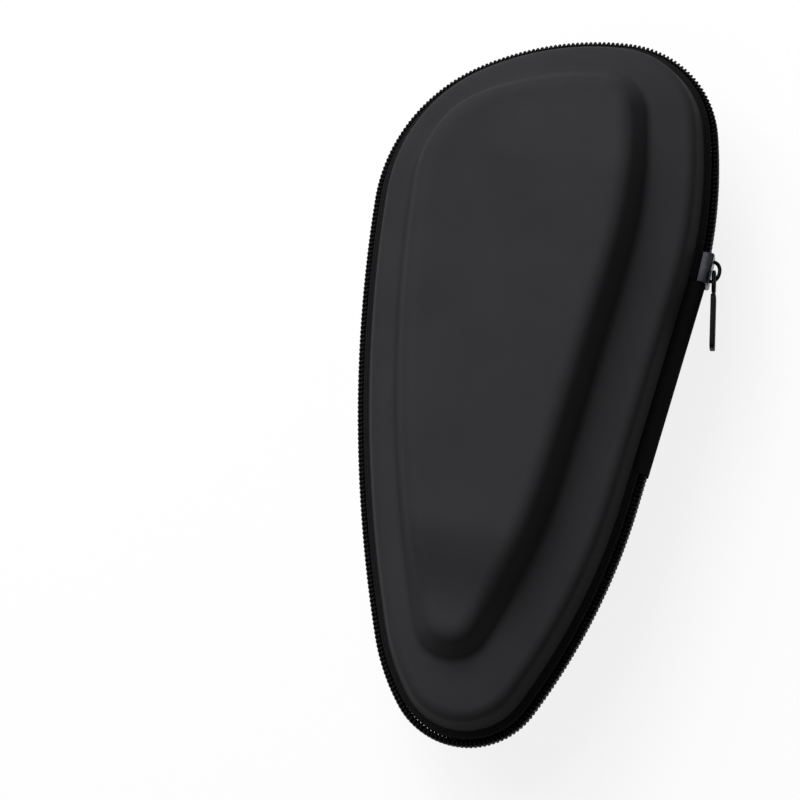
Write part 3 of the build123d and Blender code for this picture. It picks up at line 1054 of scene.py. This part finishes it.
def slider_piece():
    """Two plates, their joining wedge and the rails that wrap the coil."""
    upper = [(SLIDER_HALF, SLIDER_NARROW), (0, SLIDER_WIDE), (-SLIDER_HALF, SLIDER_WIDE)]
    plan = [(x, -y) for x, y in reversed(upper)] + upper
    parts = [slab("plate", plan, *levels, PLATE_CORNER, PLATE_EDGE) for levels in SLIDER_PLATES]
    for side in (1, -1):
        rail = [(x, side * CHANNEL) for x in (-SLIDER_HALF, 0, RAIL_END)]
        rail += [(x, side * y) for x, y in upper]
        if side < 0:
            rail.reverse()
        parts.append(slab("rail", rail, *RAIL, RAIL_CORNER, RAIL_EDGE))
    parts.append(slab("wedge", WEDGE, *WEDGE_LEVELS, 0, WEDGE_EDGE))
    return joined("slider_casting", parts)


def slider_bridge():
    """The half ring of round wire that stands on the outer plate."""
    seat, half = SLIDER_PLATES[0][1] - BRIDGE_SINK, BRIDGE_LENGTH / 2 - BRIDGE_WIRE
    rise = BRIDGE_REACH + BRIDGE_SINK - BRIDGE_WIRE
    points = []
    for i in range(BRIDGE_CUTS + 1):
        turn = pi * i / BRIDGE_CUTS
        swell = sin(turn) ** BRIDGE_FULLNESS
        points.append((seat + rise * swell, -half * cos(turn), 0))
    ring = wire("slider_half_ring", points, BRIDGE_WIRE, sides=WIRE_SIDES)
    cap_ends(ring, WIRE_END)
    return ring


def pull_ring():
    """The link: a round-edged ring with a tang; x runs down the pull, z across it."""
    points = []
    far = LINK_LENGTH - LINK_WIRE * 2
    for centre, begin in ((LINK_HALF, 90), (far - LINK_HALF, -90)):
        for i in range(LINK_CUTS + 1):
            turn = radians(begin + 180 * i / LINK_CUTS)
            points.append((centre + LINK_HALF * cos(turn), 0, LINK_HALF * sin(turn)))
    ring = wire("ring", points + points[:1], LINK_WIRE, closed=True, sides=WIRE_SIDES)
    root, end = far - TANG_SINK, far + TANG_LENGTH
    plan = [(root, -TANG_HALF), (end, -TANG_HALF), (end, TANG_HALF), (root, TANG_HALF)]
    tang = slab("tang", plan, *TANG_LEVELS, TANG_CORNER, TANG_EDGE, axis="Y")
    return joined("pull_ring", [ring, tang])


def pull_grip():
    """The grip: a rounded tab with a shallow thumb recess and a raised rim on both faces."""
    half = TAB_WIDTH / 2
    end = TAB_START + TAB_LENGTH
    plan = [(TAB_START, -half), (end, -half), (end, half), (TAB_START, half)]
    tab = slab("pull_grip", plan, -TAB_THICK / 2, TAB_THICK / 2, TAB_CORNER, 0, axis="Y")
    open_mesh(tab)
    for side in (1, -1):
        bpy.ops.mesh.select_mode(type="VERT")
        select_vertices(tab, lambda p: abs(p.y - side * TAB_THICK / 2) < TOUCH)
        bpy.ops.mesh.select_mode(type="FACE")
        bpy.ops.mesh.inset(thickness=TAB_BORDER * MM)
        bpy.ops.mesh.inset(thickness=TAB_SLOPE * MM, depth=-TAB_RECESS * MM)
    bpy.ops.mesh.select_mode(type="VERT")
    bpy.ops.object.mode_set(mode="OBJECT")
    soft_edges(tab, TAB_EDGE)
    return tab


spot, angle = station(SLIDER_STATION)
pivot = spot - inward(angle) * PIVOT_OUT
outward, down = angle - 90, HINGE_HEADING + 180 + PULL_ANGLE
SLIDER_PIECES = [
    (slider_piece(), outward, spot, "slider", "slider_body", "slider_metal", METAL),
    (slider_bridge(), outward, spot, "slider", "slider_bridge", "bridge_metal", BLACK_METAL),
    (pull_ring(), down, pivot, "pull", "pull_link", "link_plastic", LINK_PLASTIC),
    (pull_grip(), down, pivot, "pull", "pull_tab", "grip_rubber", RUBBER),
]
for piece, turn_angle, place, body, node, slot, material in SLIDER_PIECES:
    turned_into_place(piece, turn_angle, place)
    smooth(piece, 40)
    dress(piece, material)
    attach(piece, body)
    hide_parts(node)

# ---- pocket and strap ---------------------------------------------------------------------------

NET_LEVEL = 11.3
NET_CELL = 3.0
NET_YARN = 0.8  # thicker than real yarn; at 0.7 the net had less area than a sheet must have
NET_EDGE = 10.3
NET_SPAN = 200  # side of the grid that the net is cut from
NET_CENTRE = -40  # where its middle lies along the case
NET_LAP = 1  # how far behind the edging's middle the net ends
EDGING_WIDTH = 12.0
EDGING_LEVELS = (10.2, 12.4)
EDGING_ROUND = 0.9
EDGING_INSET = 10.6
# both are counted up from the hinge's lower end, which lies at -30.09 along the case
POCKET_MOUTH = 49.6 - 30.09
STRAP_WIDTH = 22.0
STRAP_MIDDLE = 9.6 - 30.09
STRAP_LEVELS = (10.2, 11.4)
STRAP_ROUND = 0.5
STRAP_INSET = 10.4
BAND_START, BAND_STEP, BAND_STEPS = -100, 2.5, 80
TRIM_SPACING = 5.0


def trim_to_outline(piece, inset, solid=False):
    """Cuts away what lies outside the outline drawn in by inset; the outline bulges all round."""
    open_mesh(piece)
    at = 0.0
    while at < RUN:
        place, angle = station(at)
        bpy.ops.mesh.select_all(action="SELECT")
        bpy.ops.mesh.bisect(
            plane_co=up_to_row(place + inward(angle) * inset),
            plane_no=-inward(angle),
            clear_outer=True,
            use_fill=solid,
        )
        at += TRIM_SPACING
    bpy.ops.object.mode_set(mode="OBJECT")


def cross_band(name, line, inset):
    """A closed (y, height) line drawn from side to side of the case and cut off at its wall."""
    points = [Vector((BAND_START, y, SEAM_PLANE + z)) * MM for y, z in line]
    piece = begin_at(name, points[0])
    draw_through(points + points[:1])
    tie_ends()
    for _ in range(BAND_STEPS):
        bpy.ops.mesh.extrude_region_move(
            TRANSFORM_OT_translate={"value": (BAND_STEP * MM, 0, 0)}
        )
    bpy.ops.object.mode_set(mode="OBJECT")
    trim_to_outline(piece, inset, solid=True)
    open_mesh(piece)
    close_up()
    smooth(piece, 50)
    return piece


def pocket_net():
    """The net: a slanted grid of yarn, cut to the lid and along the pocket's mouth."""
    bpy.ops.object.select_all(action="DESELECT")
    count = int(NET_SPAN / NET_CELL)
    bpy.ops.mesh.primitive_grid_add(
        x_subdivisions=count, y_subdivisions=count, size=count * NET_CELL * MM
    )
    net = bpy.context.object
    net.name = net.data.name = "pocket_netting"
    open_mesh(net)
    bpy.ops.transform.rotate(value=radians(45), orient_axis="Z", center_override=(0, 0, 0))
    bpy.ops.transform.translate(value=(0, NET_CENTRE * MM, (SEAM_PLANE + NET_LEVEL) * MM))
    bpy.ops.mesh.select_all(action="SELECT")
    bpy.ops.mesh.bisect(
        plane_co=(0, (POCKET_MOUTH - NET_LAP) * MM, 0), plane_no=(0, 1, 0), clear_outer=True
    )
    bpy.ops.object.mode_set(mode="OBJECT")
    trim_to_outline(net, NET_EDGE)
    area = sum(face.area for face in net.data.polygons)
    size = net.dimensions.copy()
    apply_modifier(
        net, "WIREFRAME", thickness=NET_YARN * MM, use_even_offset=True, use_boundary=True
    )
    smooth(net, 60)
    return net, size, area


def soft_band(middle, half, low, high, round_off):
    """A flat band's closed (y, height) line with rounded long edges."""
    line = []
    for y, z, start in (
        (middle + half - round_off, high - round_off, 0),
        (middle - half + round_off, high - round_off, 90),
        (middle - half + round_off, low + round_off, 180),
        (middle + half - round_off, low + round_off, 270),
    ):
        for step in range(4):
            turn = radians(start + 30 * step)
            line.append((y + round_off * cos(turn), z + round_off * sin(turn)))
    return line


net, net_size, net_area = pocket_net()
edging = cross_band(
    "pocket_elastic_edging",
    soft_band(POCKET_MOUTH, EDGING_WIDTH / 2, *EDGING_LEVELS, EDGING_ROUND),
    EDGING_INSET,
)
strap = cross_band(
    "retaining_strap",
    soft_band(STRAP_MIDDLE, STRAP_WIDTH / 2, -STRAP_LEVELS[1], -STRAP_LEVELS[0], STRAP_ROUND),
    STRAP_INSET,
)
for piece, body, node, slot, material in (
    (net, "lid", "pocket_mesh", "pocket_net", NET),
    (edging, "lid", "pocket_edging", "elastic", ELASTIC),
    (strap, "base", "strap", "elastic", ELASTIC),
):
    dress(piece, material)
    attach(piece, body)
    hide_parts(node)

# ---- camera, floor and light --------------------------------------------------------------------

CAMERA_TILT = 10.5  # degrees, towards the hinge's side and as much towards the tip
CAMERA_ROLL = 11.393
CAMERA_PLACE = (109.9, -154.86, 813.52)
CAMERA_LENS, CAMERA_SENSOR = 124.14, 36
CAMERA_CLIP = (0.05, 20)
FLOOR_SIZE = 12  # m
FLOOR_DROP = 0.0002  # m, so that the case's lowest faces don't lie in the floor
FLOOR_GREY = "#8a8a8a"  # what lights the case from below, kept low for dark undersides
FLOOR_GLOW = 0.85
WORLD_STRENGTH = 0.06
LAMP_AIM = (0, 0, 0.03)
# name, place in metres, side of the square in metres, power in watts
LAMPS = [
    ("key", (-0.7, 0.6, 1.5), 1.2, 23),
    ("rim", (-0.55, 1.35, 1.15), 0.8, 16),
    ("fill", (-0.3, -1.0, 1.5), 1.2, 3),
]


def set_camera():
    lean = tan(radians(CAMERA_TILT))
    back = Vector((lean, -lean, 1)).normalized()
    north = (Vector((0, 1, 0)) - back * back.y).normalized()
    side = north.cross(back)
    up = north * cos(radians(CAMERA_ROLL)) - side * sin(radians(CAMERA_ROLL))
    right = up.cross(back)
    camera = bpy.data.objects.new("camera", bpy.data.cameras.new("camera"))
    bpy.context.scene.collection.objects.link(camera)
    turn = Matrix((right, up, back)).transposed().to_4x4()
    camera.matrix_world = Matrix.Translation(Vector(CAMERA_PLACE) * MM) @ turn
    camera.data.lens, camera.data.sensor_width = CAMERA_LENS, CAMERA_SENSOR
    camera.data.clip_start, camera.data.clip_end = CAMERA_CLIP
    bpy.context.scene.camera = camera


def soft_lamp(name, place, size, power):
    lamp = bpy.data.lights.new(name, "AREA")
    lamp.shape, lamp.size, lamp.energy = "SQUARE", size, power
    holder = bpy.data.objects.new(name, lamp)
    bpy.context.scene.collection.objects.link(holder)
    holder.location = place
    beam = Vector(LAMP_AIM) - Vector(place)
    holder.rotation_euler = beam.to_track_quat("-Z", "Y").to_euler()


def set_floor():
    """A floor that is white to the camera, in reflections and through what is clear."""
    bpy.ops.object.select_all(action="DESELECT")
    bpy.ops.mesh.primitive_grid_add(
        x_subdivisions=4, y_subdivisions=4, size=FLOOR_SIZE, location=(0, 0, -FLOOR_DROP)
    )
    floor = bpy.context.object
    floor.name = "floor"
    bpy.ops.object.transform_apply(location=True)
    m = new_material("floor_paper")
    path = add_node(m, "LightPath")
    seen = (path, "Is Camera Ray")
    for ray in ("Is Glossy Ray", "Is Transmission Ray"):
        either = add_node(m, "Math", {0: seen, 1: (path, ray)}, operation="MAXIMUM")
        seen = (either, "Value")
    plain = add_node(m, "BsdfDiffuse", {"Color": tone(FLOOR_GREY)})
    pale = add_node(m, "BsdfDiffuse", {"Color": tone("#ffffff")})
    white = add_node(m, "Emission", {"Color": (1, 1, 1, 1), "Strength": 1.0})
    shown = add_node(m, "MixShader", {0: FLOOR_GLOW, 1: (pale, "BSDF"), 2: (white, "Emission")})
    surface = add_node(m, "MixShader", {0: seen, 1: (plain, "BSDF"), 2: (shown, "Shader")})
    dress(floor, finish_material(m, (surface, "Shader")))


def set_world():
    world = bpy.data.worlds.new("studio")
    bpy.context.scene.world = world
    world.use_nodes = True
    background = world.node_tree.nodes["Background"]
    background.inputs["Color"].default_value = (1, 1, 1, 1)
    background.inputs["Strength"].default_value = WORLD_STRENGTH


set_camera()
set_floor()
set_world()
for lamp in LAMPS:
    soft_lamp(*lamp)
bpy.context.scene.view_settings.view_transform = "Standard"
